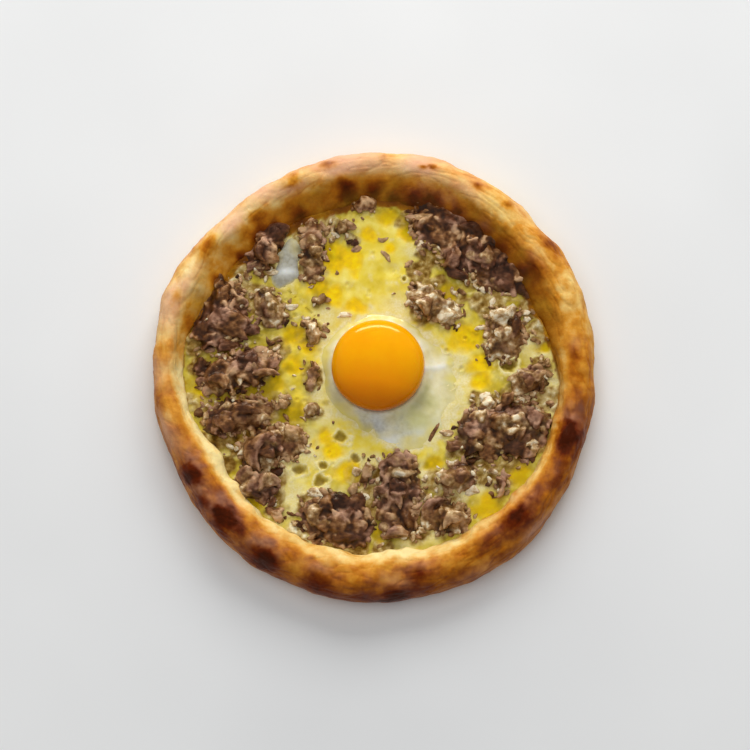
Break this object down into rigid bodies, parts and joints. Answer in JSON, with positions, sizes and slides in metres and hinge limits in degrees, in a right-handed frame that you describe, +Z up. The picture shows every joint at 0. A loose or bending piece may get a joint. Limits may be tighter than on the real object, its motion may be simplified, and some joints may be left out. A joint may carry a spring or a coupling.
{
  "type": "turkish pide",
  "caption": "Round open flatbread with a raised, pinched crust that holds melted cheese, heaps of chopped meat and an egg in the middle.",
  "frame": {"origin": "middle of the flat underside, on the table", "axes": "+Z up out of the filling, +Y towards the back of the bread as pictured, +X to the right"},
  "size_m": [0.1966, 0.2048, 0.0279],
  "materials": {
    "crust": "matt baked dough, golden with brown spots",
    "cheese": "soft melted cheese with butter on it",
    "egg_white": "glossy, just set",
    "egg_yolk": "glossy and smooth",
    "meat": "moist, with a film of cheese in places"
  },
  "bodies": {
    "root": {"crust": "crust", "cheese": "cheese", "egg_white": "egg_white", "egg_white_patch": "egg_white", "egg_yolk": "egg_yolk", "meat_heap_back_right": "meat", "meat_heap_right_back": "meat", "meat_heap_right_edge": "meat", "meat_heap_right": "meat", "meat_heap_front_right_inner": "meat", "meat_heap_front_right": "meat", "meat_heap_front": "meat", "meat_heap_front_left": "meat", "meat_heap_left_front_low": "meat", "meat_heap_left_front_mid": "meat", "meat_heap_left_front_top": "meat", "meat_heap_left": "meat", "meat_heap_left_back": "meat", "meat_heap_left_inner": "meat", "meat_heap_back_left_wall": "meat", "meat_heap_back_left": "meat", "meat_heap_inner_right": "meat", "meat_piece_back": "meat", "meat_piece_back_small": "meat", "meat_piece_left_upper": "meat", "meat_piece_left_middle": "meat", "meat_piece_left_lower": "meat", "meat_piece_by_egg_front": "meat", "meat_piece_left_front": "meat", "meat_piece_front_inner": "meat", "meat_piece_front_left": "meat", "meat_piece_front_right": "meat"}
  },
  "joints": []
}
